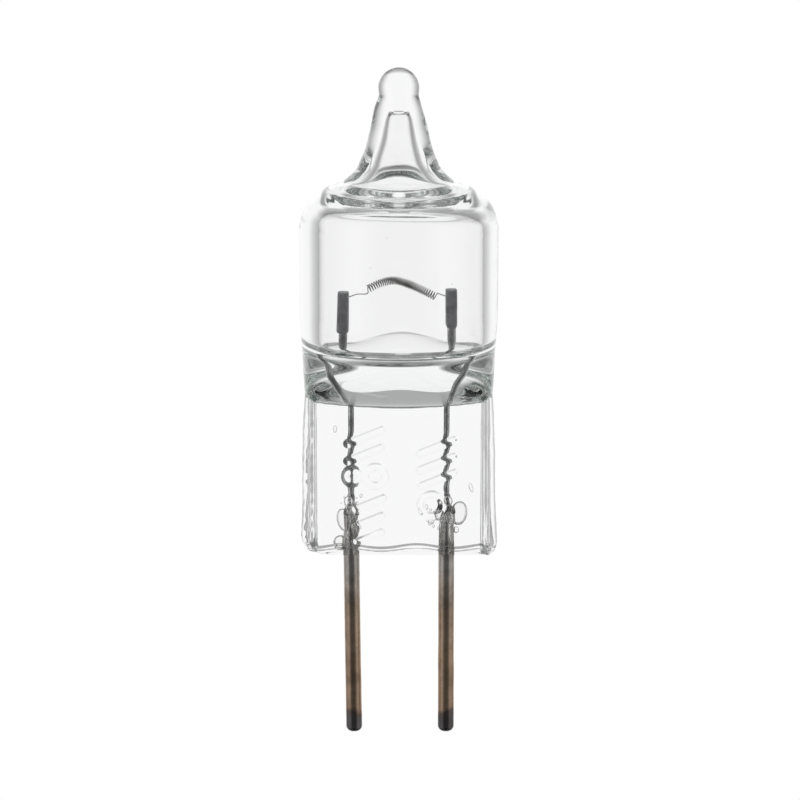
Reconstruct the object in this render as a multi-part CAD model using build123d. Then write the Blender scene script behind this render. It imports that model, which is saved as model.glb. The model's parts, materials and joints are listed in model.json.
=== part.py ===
from build123d import *

import math
import os

# Bi-pin tungsten-halogen capsule bulb, in millimetres.
# +Z runs up the bulb's axis to the exhaust tip. The origin is on the flat bottom of the pinch seal,
# midway between the two contact pins. The pins stand side by side along X, and the broad faces of
# the pinch look along -Y (front) and +Y (back).

# ---- glass: the vessel ----
bulb_diameter = 8.26
wall = 0.76  # side wall of the vessel
waist_height = 3.40  # over which the vessel's sides draw in to the pinch
shoulder_height = 2.20  # from the top of the pinch to the full round, front and back
barrel_height = 5.10  # from there to the start of the dome
dome_radius = 1.88  # rounding of the vessel's top edge
shoulder_fillet = 0.45  # where the shoulder runs into the pinch
shoulder_round = 1.10  # where the shoulder runs into the vessel
shoulder_clearance = 0.03  # the shoulder's prism stands this far outside the vessel's side

# ---- glass: the exhaust tip ----
tip_height = 4.58  # above the top of the dome
flare_height = 0.80  # the cone's flared foot
flare_radius = 1.59  # at the top of that foot
cone_height = 2.06  # a second height on the cone, above the top of the dome
cone_radius = 1.21  # at that height
neck_radius = 0.82  # just under the knob
neck_below_knob = 0.36  # under the knob's centre
knob_radius = 0.85

# ---- glass: the gas space ----
crown_thickness = 1.12  # glass over the gas space
ceiling_corner = 0.45
mouth_radius = 1.75  # where the exhaust bore opens into the gas space
bore_radius = 0.58
bore_radius_height = 1.45  # above the top of the dome
bore_end_radius = 0.32
bore_cover = 1.87  # solid glass between the bore's end and the tip
floor_below_shoulder = 0.00  # the gas space reaches this far below the full round
floor_corner = 0.50
floor_sag = 0.12  # the middle of the floor lies this much lower

# ---- glass: the pinch seal ----
pinch_height = 6.50
pinch_top_width = 7.88
pinch_foot_width = 8.22
pinch_thickness = 3.00  # over the side rails
pinch_edge_round = 0.55  # front and back edges
left_corner_radius = 1.05  # lower corners, seen from the front
right_corner_radius = 0.60
window_depth = 0.72  # the pressed window lies this far below the rails, front and back
window_taper = 30.0  # degrees
rail_width = 0.42  # outside the window's rim

# ---- metal ----
pin_pitch = 4.00
pin_diameter = 0.68
pin_length = 7.80  # outside the glass
pin_depth = 1.85  # inside the glass
pin_sealed_diameter = 0.60  # the sealed stretch tapers to this
pin_end_round = 0.24
lead_diameter = 0.35
lead_bend_start = 0.55  # the leads start to lean out this far above the top of the pinch
lead_bend_end = 0.25  # and stand upright again this far below the gas space
lead_bend_radius = 0.95
tongue_width = 0.36  # flattened upper end of each lead
tongue_thickness = 0.24
tongue_reach = 0.45  # below the clamp
bead_diameter = 0.84
bead_height = 0.90
bead_overlap = 0.20  # how far the bead reaches down around the pin's end
bead_round = 0.15
clamp_width = 0.48
clamp_thickness = 0.56
clamp_round = 0.09
tongue_to_leg = 0.10  # between the end of the lead and the filament's leg
leg_below_top = 0.31  # filament leg below the top of its clamp
leg_stub = 0.08  # end of the leg that shows outside the clamp
left_clamp_lean = 0.37  # how far outside its pin each clamp stands
left_clamp_rise = 2.37  # top of the clamp above the floor of the gas space
left_clamp_length = 1.70
right_clamp_lean = 0.16
right_clamp_rise = 2.48
right_clamp_length = 1.58

# ---- filament: heights are above the floor of the gas space ----
wire_diameter = 0.05
coil_diameter = 0.36  # outside; the closely wound turns are one closed rod of their outer shape
coil_left_gap = 1.08  # from the middle of the left clamp to the coil's left end
coil_left_height = 2.45
coil_bend_run = 1.09  # from the left end to where the coil's two straight flanks would meet
coil_bend_height = 3.02
coil_right_gap = 0.66
coil_right_height = 2.12
coil_bend_radius = 1.78
left_leg_bends = [(-0.09, -0.21), (-0.46, -0.22)]  # as (x, z) from the coil's end
right_leg_bends = [(0.12, 0.11)]
leg_bend_radius = 0.06

# ---- places that follow from the sizes ----
bulb_radius = bulb_diameter / 2
cavity_radius = bulb_radius - wall
shoulder_top = pinch_height + shoulder_height
dome_start = shoulder_top + barrel_height
dome_top = dome_start + dome_radius
tip_top = dome_top + tip_height
knob_height = tip_top - knob_radius
ceiling = dome_top - crown_thickness
bore_end = tip_top - bore_cover
floor = shoulder_top - floor_below_shoulder
half_thick = pinch_thickness / 2
half_window = half_thick - window_depth
pin_radius = pin_diameter / 2
pin_x = pin_pitch / 2
lead_radius = lead_diameter / 2
wire_radius = wire_diameter / 2
left_clamp_x = -pin_x - left_clamp_lean
left_clamp_top = floor + left_clamp_rise
right_clamp_x = pin_x + right_clamp_lean
right_clamp_top = floor + right_clamp_rise
coil_left = (left_clamp_x + coil_left_gap, floor + coil_left_height)
coil_bend = (coil_left[0] + coil_bend_run, floor + coil_bend_height)
coil_right = (right_clamp_x - coil_right_gap, floor + coil_right_height)


def whole(shape):
    """The one solid of a shape."""
    found = shape.solids()
    if len(found) != 1:
        raise ValueError(f"expected one solid, found {len(found)}")
    return found[0]


def turned(outline):
    """A solid of revolution about Z from a closed outline in the XZ plane."""
    return whole(revolve(make_face(outline), Axis.Z, 360))


def quarter(start, corner, end):
    """The quarter circle from start to end around a rounded corner; all three as (x, z)."""
    centre = (start[0] + end[0] - corner[0], start[1] + end[1] - corner[1])
    middle = [c + (k - c) * math.sqrt(0.5) for c, k in zip(centre, corner)]
    return ThreePointArc((start[0], 0, start[1]), (middle[0], 0, middle[1]), (end[0], 0, end[1]))


def vessel_outside():
    """The vessel's round outside and the exhaust tip, down to the top of the pinch."""
    dome_x = bulb_radius - dome_radius
    base = Line((0, 0, pinch_height), (pinch_top_width / 2, 0, pinch_height))
    waist = Spline(
        base @ 1, (bulb_radius, 0, pinch_height + waist_height), tangents=[(0, 0, 1), (0, 0, 1)]
    )
    side = Line(waist @ 1, (bulb_radius, 0, dome_start))
    dome = quarter((bulb_radius, dome_start), (bulb_radius, dome_top), (dome_x, dome_top))
    flare = Spline(
        dome @ 1,
        (flare_radius, 0, dome_top + flare_height),
        (cone_radius, 0, dome_top + cone_height),
        (neck_radius, 0, knob_height - neck_below_knob),
        tangents=[(-1, 0, 0), (-0.5, 0, 1)],
    )
    neck = Line(flare @ 1, (knob_radius, 0, knob_height))
    knob = quarter((knob_radius, knob_height), (knob_radius, tip_top), (0, tip_top))
    axis = Line(knob @ 1, base @ 0)
    return turned([base, waist, side, dome, flare, neck, knob, axis])


def shoulder_prism():
    """Between the two pressed slopes: as thick as the window at the pinch, past the vessel higher up."""
    past = bulb_radius + shoulder_clearance
    above = tip_top + bulb_radius
    below = pinch_height - shoulder_fillet
    corners = [
        (half_window, below),
        (half_window, pinch_height),
        (past, shoulder_top),
        (past, above),
        (-past, above),
        (-past, shoulder_top),
        (-half_window, pinch_height),
        (-half_window, below),
    ]
    rounding = [0, shoulder_fillet, shoulder_round, 0, 0, shoulder_round, shoulder_fillet, 0]
    outline = FilletPolyline(*[(0, y, z) for y, z in corners], radius=rounding, close=True)
    return whole(extrude(make_face(outline), amount=bulb_diameter, both=True, dir=(1, 0, 0)))


def pinch_slab():
    """The pressed block at the foot, with a window sunk into its front and its back."""
    foot = pinch_foot_width / 2
    top = pinch_top_width / 2
    outline = FilletPolyline(
        (-foot, 0, 0),
        (foot, 0, 0),
        (top, 0, pinch_height),
        (-top, 0, pinch_height),
        radius=[left_corner_radius, right_corner_radius, 0, 0],
        close=True,
    )
    slab = whole(extrude(make_face(outline), amount=half_thick, both=True, dir=(0, 1, 0)))
    rim = slab.faces().filter_by(Axis.Y).edges().sort_by(Axis.Z)[:-2]  # all but the two top edges
    slab = whole(fillet(rim, pinch_edge_round))
    window_width = pinch_top_width - 2 * rail_width
    window = Rectangle(window_width, 3 * pinch_height)  # runs out through the foot and up into the shoulder
    front = Plane((0, -half_thick, 0), x_dir=(1, 0, 0), z_dir=(0, -1, 0))
    sunk = extrude(front * window, amount=-window_depth, taper=window_taper)
    return whole(slab - sunk - mirror(sunk, Plane.XZ))


def gas_space():
    """The sealed space inside the vessel, up into the exhaust bore."""
    low = Spline(
        (0, 0, floor - floor_sag),
        (cavity_radius - floor_corner, 0, floor),
        tangents=[(1, 0, 0), (1, 0, 0)],
    )
    heel = quarter(
        (cavity_radius - floor_corner, floor), (cavity_radius, floor), (cavity_radius, floor + floor_corner)
    )
    side = Line(heel @ 1, (cavity_radius, 0, ceiling - ceiling_corner))
    eave = quarter(
        (cavity_radius, ceiling - ceiling_corner),
        (cavity_radius, ceiling),
        (cavity_radius - ceiling_corner, ceiling),
    )
    roof = Line(eave @ 1, (mouth_radius, 0, ceiling))
    bore = Spline(
        roof @ 1,
        (bore_radius, 0, dome_top + bore_radius_height),
        (bore_end_radius, 0, bore_end),
        tangents=[(-1, 0, 0.2), (-0.25, 0, 1)],
    )
    end = Line(bore @ 1, (0, 0, bore_end))
    axis = Line(end @ 1, low @ 0)
    return turned([low, heel, side, eave, roof, bore, end, axis])


def contact_pin(x):
    """A contact pin with a rounded lower end; its sealed stretch, inside the pinch, tapers slightly."""
    rod = Pos(x, 0, -pin_length / 2) * Cylinder(pin_radius, pin_length)
    lower_rim = rod.edges().filter_by(GeomType.CIRCLE).sort_by(Axis.Z)[0]
    sealed = Pos(x, 0, pin_depth / 2) * Cone(pin_radius, pin_sealed_diameter / 2, pin_depth)
    return whole(fillet(lower_rim, pin_end_round) + sealed)


def inner_lead(foot_x, clamp_x, clamp_top, clamp_length):
    """Round wire from the top of the pin up through the glass, flattened into a tongue for the clamp."""
    tongue_bottom = clamp_top - clamp_length - tongue_reach
    tongue_top = clamp_top - leg_below_top - wire_radius - tongue_to_leg
    route = FilletPolyline(
        (foot_x, 0, pin_depth),
        (foot_x, 0, pinch_height + lead_bend_start),
        (clamp_x, 0, floor - lead_bend_end),
        (clamp_x, 0, tongue_bottom + tongue_thickness / 2),
        radius=lead_bend_radius,
    )
    wire = sweep(Plane(route @ 0, z_dir=(0, 0, 1)) * Circle(lead_radius), path=route)
    tongue = Box(tongue_width, tongue_thickness, tongue_top - tongue_bottom)
    return whole(wire + Pos(clamp_x, 0, (tongue_bottom + tongue_top) / 2) * tongue)


def weld_bead(x, pin, lead):
    """The lump of weld metal that joins a lead to the top of its pin."""
    middle = pin_depth - bead_overlap + bead_height / 2
    lump = Pos(x, 0, middle) * Cylinder(bead_diameter / 2, bead_height)
    lump = fillet(lump.edges().filter_by(GeomType.CIRCLE), bead_round)
    return whole(lump - pin - lead)


def filament():
    """The coil and its two legs, which run through the clamps and end in short stubs."""
    coil_route = FilletPolyline(
        *[(x, 0, z) for x, z in (coil_left, coil_bend, coil_right)], radius=coil_bend_radius
    )
    shape = sweep(Plane(coil_route @ 0, z_dir=coil_route % 0) * Circle(coil_diameter / 2), path=coil_route)
    stub = clamp_width / 2 + leg_stub
    sides = [
        (coil_left, left_leg_bends, left_clamp_x, left_clamp_top, -1),
        (coil_right, right_leg_bends, right_clamp_x, right_clamp_top, 1),
    ]
    for start, offsets, clamp_x, clamp_top, outward in sides:
        height = clamp_top - leg_below_top
        bends = [(start[0] + x, start[1] + z) for x, z in offsets]
        inner_side = (clamp_x - outward * clamp_width / 2, height)
        points = [start, *bends, inner_side, (clamp_x + outward * stub, height)]
        route = FilletPolyline(*[(x, 0, z) for x, z in points], radius=leg_bend_radius)
        shape = shape + sweep(Plane(route @ 0, z_dir=route % 0) * Circle(wire_radius), path=route)
    return whole(shape)


def filament_clamp(x, top, length, lead, wire):
    """The crimped hook that closes around the lead's tongue and holds one leg of the filament."""
    block = Pos(x, 0, top - length / 2) * Box(clamp_width, clamp_thickness, length)
    return whole(fillet(block.edges(), clamp_round) - lead - wire)


def glass_envelope(sealed):
    """Vessel, exhaust tip and pinch are one fused piece of glass, closed tightly around the metal."""
    glass = (vessel_outside() & shoulder_prism()) + pinch_slab() - gas_space()
    for piece in sealed:
        glass = glass - piece
    return whole(glass)


def make_parts():
    parts = {"filament": filament()}
    sides = [
        ("left", -pin_x, left_clamp_x, left_clamp_top, left_clamp_length),
        ("right", pin_x, right_clamp_x, right_clamp_top, right_clamp_length),
    ]
    sealed = []
    for side, foot_x, clamp_x, clamp_top, clamp_length in sides:
        pin = contact_pin(foot_x)
        lead = inner_lead(foot_x, clamp_x, clamp_top, clamp_length)
        bead = weld_bead(foot_x, pin, lead)
        sealed += [pin, lead, bead]
        parts[f"contact_pin_{side}"] = pin
        parts[f"inner_lead_{side}"] = lead
        parts[f"weld_bead_{side}"] = bead
        parts[f"filament_clamp_{side}"] = filament_clamp(
            clamp_x, clamp_top, clamp_length, lead, parts["filament"]
        )
    parts["glass_envelope"] = glass_envelope(sealed)
    return parts


os.makedirs("parts", exist_ok=True)
for node, shape in make_parts().items():
    export_step(shape, f"parts/{node}.step")
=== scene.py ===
import json
import math

import bmesh
import bpy
import numpy as np
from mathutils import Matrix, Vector

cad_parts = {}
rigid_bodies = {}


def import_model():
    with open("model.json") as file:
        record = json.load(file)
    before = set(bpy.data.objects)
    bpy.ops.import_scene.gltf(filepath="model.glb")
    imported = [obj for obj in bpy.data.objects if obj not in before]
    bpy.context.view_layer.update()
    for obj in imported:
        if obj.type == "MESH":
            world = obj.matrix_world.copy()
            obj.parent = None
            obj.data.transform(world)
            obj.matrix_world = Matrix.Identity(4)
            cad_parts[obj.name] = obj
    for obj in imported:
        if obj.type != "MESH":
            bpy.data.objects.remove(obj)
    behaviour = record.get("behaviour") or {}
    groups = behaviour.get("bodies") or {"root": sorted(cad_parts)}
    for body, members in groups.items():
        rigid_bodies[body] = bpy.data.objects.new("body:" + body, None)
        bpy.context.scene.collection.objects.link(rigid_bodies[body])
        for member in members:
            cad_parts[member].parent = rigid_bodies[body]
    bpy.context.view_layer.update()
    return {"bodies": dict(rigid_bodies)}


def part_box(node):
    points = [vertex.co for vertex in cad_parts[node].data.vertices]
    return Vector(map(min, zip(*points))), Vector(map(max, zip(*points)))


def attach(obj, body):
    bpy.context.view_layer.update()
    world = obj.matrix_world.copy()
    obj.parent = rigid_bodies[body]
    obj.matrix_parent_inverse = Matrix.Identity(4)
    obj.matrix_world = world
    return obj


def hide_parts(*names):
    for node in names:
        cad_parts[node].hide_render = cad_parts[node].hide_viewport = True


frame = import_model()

mm = 0.001
body = next(iter(frame["bodies"]))

glassHigh = np.array(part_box("glass_envelope")[1]) / mm
pinLow, pinHigh = [np.array(p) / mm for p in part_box("contact_pin_left")]
pinLeftX = (pinLow[0] + pinHigh[0]) / 2
pinRightX = -pinLeftX


# camera and surroundings
viewSettings = {
    "distance": 110.0,  # mm from the bulb's axis
    "elevation": 8.5,  # degrees
    "aimSide": 0.05,
    "aimHeight": 6.447,
    "frameHeight": 33.466,  # how much of the object's height fills the picture
    "sensor": 36.0,
    "floorRadius": 85.0,
    "lightAround": [  # by the angle in degrees from straight behind the bulb
        (0, 1.0), (25, 1.0), (32, 0.88), (43, 0.60), (54, 0.42), (70, 0.36), (96, 0.42), (126, 0.45),
        (142, 0.20), (160, 0.10)],
    "lightUp": [  # by the angle in degrees above the horizon
        (-90, 0.32), (-60, 0.35), (-46, 0.50), (-34, 1.0), (18, 1.0), (28, 0.45), (50, 0.40), (60, 1.0)],
}


def makeCamera(s):
    lens = s["sensor"] * s["distance"] / s["frameHeight"]
    data = bpy.data.cameras.new("camera")
    data.lens = lens
    data.sensor_width = s["sensor"]
    data.clip_start = 0.001
    data.clip_end = 10
    camera = bpy.data.objects.new("camera", data)
    rise = math.radians(s["elevation"])
    back = Vector((0, -math.cos(rise), math.sin(rise)))
    camera.location = (Vector((s["aimSide"], 0, s["aimHeight"])) + back * s["distance"]) * mm
    camera.rotation_euler = (-back).to_track_quat("-Z", "Y").to_euler()
    bpy.context.scene.collection.objects.link(camera)
    bpy.context.scene.camera = camera


def makeWorld(s):
    # brightness by direction: a wide white sheet behind the bulb, soft side lights, a dim front and floor
    world = bpy.data.worlds.new("studio")
    bpy.context.scene.world = world
    world.use_nodes = True
    nodes, links = world.node_tree.nodes, world.node_tree.links
    nodes.clear()
    coord = nodes.new("ShaderNodeTexCoord")
    split = nodes.new("ShaderNodeSeparateXYZ")
    links.new(coord.outputs["Generated"], split.inputs[0])
    turn = nodes.new("ShaderNodeMath")
    turn.operation = "ARCTAN2"
    links.new(split.outputs["X"], turn.inputs[0])
    links.new(split.outputs["Y"], turn.inputs[1])
    size = nodes.new("ShaderNodeMath")
    size.operation = "ABSOLUTE"
    links.new(turn.outputs[0], size.inputs[0])
    share = nodes.new("ShaderNodeMath")
    share.operation = "DIVIDE"
    share.inputs[1].default_value = math.pi
    links.new(size.outputs[0], share.inputs[0])
    around = nodes.new("ShaderNodeValToRGB")
    fillRamp(around.color_ramp, [(angle / 180, light) for angle, light in s["lightAround"]])
    links.new(share.outputs[0], around.inputs[0])
    lift = nodes.new("ShaderNodeMapRange")
    lift.inputs["From Min"].default_value = -1
    links.new(split.outputs["Z"], lift.inputs["Value"])
    rise = nodes.new("ShaderNodeValToRGB")
    heights = [(0.5 + 0.5 * math.sin(math.radians(angle)), light) for angle, light in s["lightUp"]]
    fillRamp(rise.color_ramp, heights)
    links.new(lift.outputs["Result"], rise.inputs[0])
    both = nodes.new("ShaderNodeMix")
    both.data_type = "RGBA"
    both.blend_type = "MULTIPLY"
    both.inputs["Factor"].default_value = 1
    links.new(rise.outputs["Color"], both.inputs["A"])
    links.new(around.outputs["Color"], both.inputs["B"])
    lit = nodes.new("ShaderNodeBackground")
    links.new(both.outputs["Result"], lit.inputs["Color"])
    plain = nodes.new("ShaderNodeBackground")
    plain.inputs["Color"].default_value = (1, 1, 1, 1)
    path = nodes.new("ShaderNodeLightPath")
    mix = nodes.new("ShaderNodeMixShader")
    links.new(path.outputs["Is Camera Ray"], mix.inputs[0])
    links.new(lit.outputs[0], mix.inputs[1])
    links.new(plain.outputs[0], mix.inputs[2])
    out = nodes.new("ShaderNodeOutputWorld")
    links.new(mix.outputs[0], out.inputs["Surface"])


def fillRamp(ramp, stops):
    while len(ramp.elements) > 1:
        ramp.elements.remove(ramp.elements[-1])
    for index, (place, value) in enumerate(stops):
        stop = ramp.elements[0] if index == 0 else ramp.elements.new(place)
        stop.position = place
        colour = value if isinstance(value, tuple) else (value, value, value)
        stop.color = (*colour, 1)


def makeFloor(s):
    # plain white to the camera; the bulb's glass sees the studio light through it
    material = bpy.data.materials.new("paleFloor")
    material.use_nodes = True
    nodes, links = material.node_tree.nodes, material.node_tree.links
    shader = nodes["Principled BSDF"]
    shader.inputs["Base Color"].default_value = (0, 0, 0, 1)
    shader.inputs["Roughness"].default_value = 1
    shader.inputs["Specular IOR Level"].default_value = 0
    shader.inputs["Emission Color"].default_value = (1, 1, 1, 1)
    shader.inputs["Emission Strength"].default_value = 1
    clear = nodes.new("ShaderNodeBsdfTransparent")
    path = nodes.new("ShaderNodeLightPath")
    mix = nodes.new("ShaderNodeMixShader")
    links.new(path.outputs["Is Camera Ray"], mix.inputs[0])
    links.new(clear.outputs[0], mix.inputs[1])
    links.new(shader.outputs[0], mix.inputs[2])
    links.new(mix.outputs[0], nodes["Material Output"].inputs["Surface"])
    count = 96
    turns = [2 * math.pi * k / count for k in range(count)]
    level = pinLow[2] - 0.01
    reach = s["floorRadius"] * mm
    points = [(reach * math.cos(t), reach * math.sin(t), level * mm) for t in turns]
    mesh = bpy.data.meshes.new("floor")
    mesh.from_pydata(points, [], [list(range(count))])
    mesh.materials.append(material)
    floor = bpy.data.objects.new("floor", mesh)
    bpy.context.scene.collection.objects.link(floor)


makeCamera(viewSettings)
makeWorld(viewSettings)
makeFloor(viewSettings)
scene = bpy.context.scene
scene.view_settings.view_transform = "Standard"
scene.view_settings.look = "None"
scene.cycles.max_bounces = 48
scene.cycles.transmission_bounces = 48
scene.cycles.glossy_bounces = 24
scene.cycles.transparent_max_bounces = 24
print("camera and light ready")


# helpers for meshes, all in millimetres until the mesh is written
def smoothStep(low, high, x):
    t = np.clip((x - low) / (high - low), 0, 1)
    return t * t * (3 - 2 * t)


def softMin(a, b, width):
    h = np.clip(0.5 + 0.5 * (b - a) / width, 0, 1)
    return b * (1 - h) + a * h - width * h * (1 - h)


def softMax(a, b, width):
    return -softMin(-a, -b, width)


def curveThrough(points, count):
    # a smooth line through the points, sampled evenly along its length
    p = np.array(points, float)
    p = np.vstack([2 * p[0] - p[1], p, 2 * p[-1] - p[-2]])
    fine = []
    for k in range(1, len(p) - 2):
        t = np.linspace(0, 1, 40, endpoint=False)[:, None]
        a, b, c, d = p[k - 1], p[k], p[k + 1], p[k + 2]
        fine.append(0.5 * (
            2 * b + (c - a) * t + (2 * a - 5 * b + 4 * c - d) * t**2 + (3 * b - a - 3 * c + d) * t**3))
    fine = np.vstack(fine + [p[-2][None]])
    return evenly(fine, count)


def evenly(line, count):
    line = np.array(line, float)
    run = np.concatenate([[0], np.cumsum(np.linalg.norm(np.diff(line, axis=0), axis=1))])
    at = np.linspace(0, run[-1], count)
    return np.stack([np.interp(at, run, line[:, k]) for k in range(line.shape[1])], axis=1)


def arc(centre, radius, start, end, count):
    t = np.radians(np.linspace(start, end, count))
    return np.stack([centre[0] + radius * np.cos(t), centre[1] + radius * np.sin(t)], axis=1)


def waves(x, y, z, seed, count=7, low=0.6, high=2.0):
    # smooth wobble made of a few sine waves in fixed random directions, within about -1 to 1
    rng = np.random.default_rng(seed)
    total = 0
    for _ in range(count):
        direction = rng.normal(size=3)
        direction /= np.linalg.norm(direction)
        rate = rng.uniform(low, high) * 2 * math.pi
        along = direction[0] * x + direction[1] * y + direction[2] * z
        total = total + np.sin(rate * along + rng.uniform(0, 6.28))
    return total / math.sqrt(2 * count)


def shellFaces(ringCount, sides, first, inside, lowPole, highPole):
    # quads between rings of equal size, closed by fans; rings run anticlockwise and upwards
    faces = []
    at = first + np.arange(ringCount * sides).reshape(ringCount, sides)
    nextAt = np.roll(at, -1, axis=1)
    quads = np.stack([at[:-1], nextAt[:-1], nextAt[1:], at[1:]], axis=-1).reshape(-1, 4)
    low = np.stack([np.full(sides, lowPole), nextAt[0], at[0]], axis=-1)
    high = np.stack([np.full(sides, highPole), at[-1], nextAt[-1]], axis=-1)
    for block in (quads, low, high):
        faces += (block[:, ::-1] if inside else block).tolist()
    return faces


class MeshParts:
    # gathers closed shells and writes them as one mesh
    def __init__(self):
        self.points, self.faces, self.used = [], [], 0

    def addShell(self, rings, inside=False):
        rings = np.array(rings)
        count, sides = rings.shape[:2]
        poles = np.array([rings[0].mean(axis=0), rings[-1].mean(axis=0)])
        first = self.used
        total = count * sides
        self.points += [rings.reshape(-1, 3), poles]
        self.faces += shellFaces(count, sides, first, inside, first + total, first + total + 1)
        self.used += total + 2

    def write(self, name, material):
        mesh = bpy.data.meshes.new(name)
        mesh.from_pydata((np.vstack(self.points) * mm).tolist(), [], self.faces)
        mesh.polygons.foreach_set("use_smooth", [True] * len(mesh.polygons))
        mesh.materials.append(material)
        mesh.validate()
        piece = bpy.data.objects.new(name, mesh)
        bpy.context.scene.collection.objects.link(piece)
        print(name, "has", len(mesh.polygons), "faces")
        return piece


def turned(profile, sides, centre=(0, 0)):
    # rings round a vertical axis from a profile of (radius, height)
    t = np.linspace(0, 2 * math.pi, sides, endpoint=False)
    return [np.stack([centre[0] + r * np.sin(t), centre[1] - r * np.cos(t), np.full(sides, z)], axis=1)
            for r, z in profile]


# helpers for material nodes
def nodeGroup(name, inputs, outputs):
    # an empty shader group with named sockets: inputs as (name, kind, value), outputs as (name, kind)
    group = bpy.data.node_groups.new(name, "ShaderNodeTree")
    for label, kind, value in inputs:
        socket = group.interface.new_socket(name=label, in_out="INPUT", socket_type=kind)
        socket.default_value = value
    for label, kind in outputs:
        group.interface.new_socket(name=label, in_out="OUTPUT", socket_type=kind)
    return group, group.nodes.new("NodeGroupInput"), group.nodes.new("NodeGroupOutput")


def mathNode(nodes, links, operation, a, b):
    node = nodes.new("ShaderNodeMath")
    node.operation = operation
    for socket, value in zip(node.inputs, (a, b)):
        if isinstance(value, bpy.types.NodeSocket):
            links.new(value, socket)
        else:
            socket.default_value = value
    return node.outputs[0]


def mixColours(nodes, links, factor, a, b):
    node = nodes.new("ShaderNodeMix")
    node.data_type = "RGBA"
    for socket, value in ((node.inputs["Factor"], factor), (node.inputs["A"], a), (node.inputs["B"], b)):
        if isinstance(value, bpy.types.NodeSocket):
            links.new(value, socket)
        else:
            socket.default_value = value
    return node.outputs["Result"]


def noiseAt(nodes, links, place, scale, detail):
    node = nodes.new("ShaderNodeTexNoise")
    node.inputs["Scale"].default_value = scale
    node.inputs["Detail"].default_value = detail
    links.new(place, node.inputs["Vector"])
    return node.outputs["Fac"]


# the glass
glass = {
    "sides": 228,
    "innerSides": 128,
    "radius": glassHigh[0],
    "bore": 3.41,  # inner radius of the vessel
    "boreShift": 0.07,  # the bore stands this far right of the outside
    "top": glassHigh[2],
    "knobRadius": 0.85,
    "pinchTop": 6.50,
    "pinchStep": 0.072,  # between the mesh's rings
    "shoulderStep": 0.058,
    "halfThick": 1.50,
    "windowDepth": 0.72,
    "windowHalf": 3.60,
    "windowBevel": 0.22,
    "edgeRound": 0.30,
    "leftCorner": 1.05,
    "rightCorner": 0.60,
    "shoulderTop": 8.6,  # where the pressed slope has come out to the full round
    "shoulderBulge": 1.25,  # 1 is a straight slope, 2 a quarter ellipse
    "squareness": 9.0,  # of the pinch's section; the vessel's is 2
    "squareFade": 1.5,
    "creaseDip": 0.24,  # the foot of the shoulder hangs lower in the middle
    "floor": 8.50,
    "floorRound": 0.50,
    "floorTilt": 0.30,  # how much the floor rises from front to back
    "humpRise": 0.42,  # and how much more in the middle, at the back
    "humpHalf": 2.45,
    "ceiling": 14.56,
    "ceilingRound": 0.95,
    "seed": 4,
}
sideOutline = [  # half width of the pinch and waist as (height, half width)
    (0.0, 4.14), (0.91, 4.11), (2.19, 4.03), (4.33, 4.01), (6.02, 3.95), (6.87, 3.90), (7.71, 3.96), (8.56, 4.02),
    (9.40, 4.09), (10.0, 4.13)]
marks = [  # raised shapes pressed into the window: kind, x, z, half length, half width
    ("bar", -1.42, 5.02, 0.98, 0.22),
    ("bar", -1.44, 4.28, 0.96, 0.22),
    ("ring", -1.94, 3.36, 0.30, 0.20),
    ("ring", -0.98, 3.36, 0.40, 0.22),
    ("bar", -1.22, 2.20, 0.84, 0.22),
    ("bar", -1.26, 1.46, 0.80, 0.22),
    ("bar", -1.24, 0.78, 0.74, 0.20),
    ("bar", 1.58, 4.60, 0.98, 0.22),
    ("bar", 1.58, 3.90, 0.98, 0.22),
    ("bar", 1.62, 3.22, 0.96, 0.22),
    ("ring", 1.36, 2.14, 0.46, 0.20),
]
markHeight, markEdge = 0.07, 0.26  # of the soft swelling under each mark
markFinish = 0.15  # how far the fine relief on top of it stands out
markLean = math.radians(22)  # of every bar
footRib = {"height": 0.32, "half": 0.12, "waves": 2.1, "wander": 0.07}  # a low rib wandering along the foot


def markRelief(x, z):
    total = np.zeros_like(x)
    for kind, cx, cz, long, wide in marks:
        dx, dz = x - cx, z - cz
        if kind == "ring":
            away = np.abs(np.hypot(dx, dz) - long) - wide
        else:
            u = np.cos(markLean) * dx + np.sin(markLean) * dz
            v = np.cos(markLean) * dz - np.sin(markLean) * dx
            away = np.hypot(np.maximum(np.abs(u) - long + wide, 0), v) - wide
        total = np.maximum(total, 1 - smoothStep(-markEdge / 2, markEdge / 2, away))
    ribPlace = footRib["height"] + footRib["wander"] * np.sin(footRib["waves"] * x)
    total = np.maximum(total, np.maximum(1 - ((z - ribPlace) / footRib["half"]) ** 2, 0))
    return total * markHeight


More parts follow.
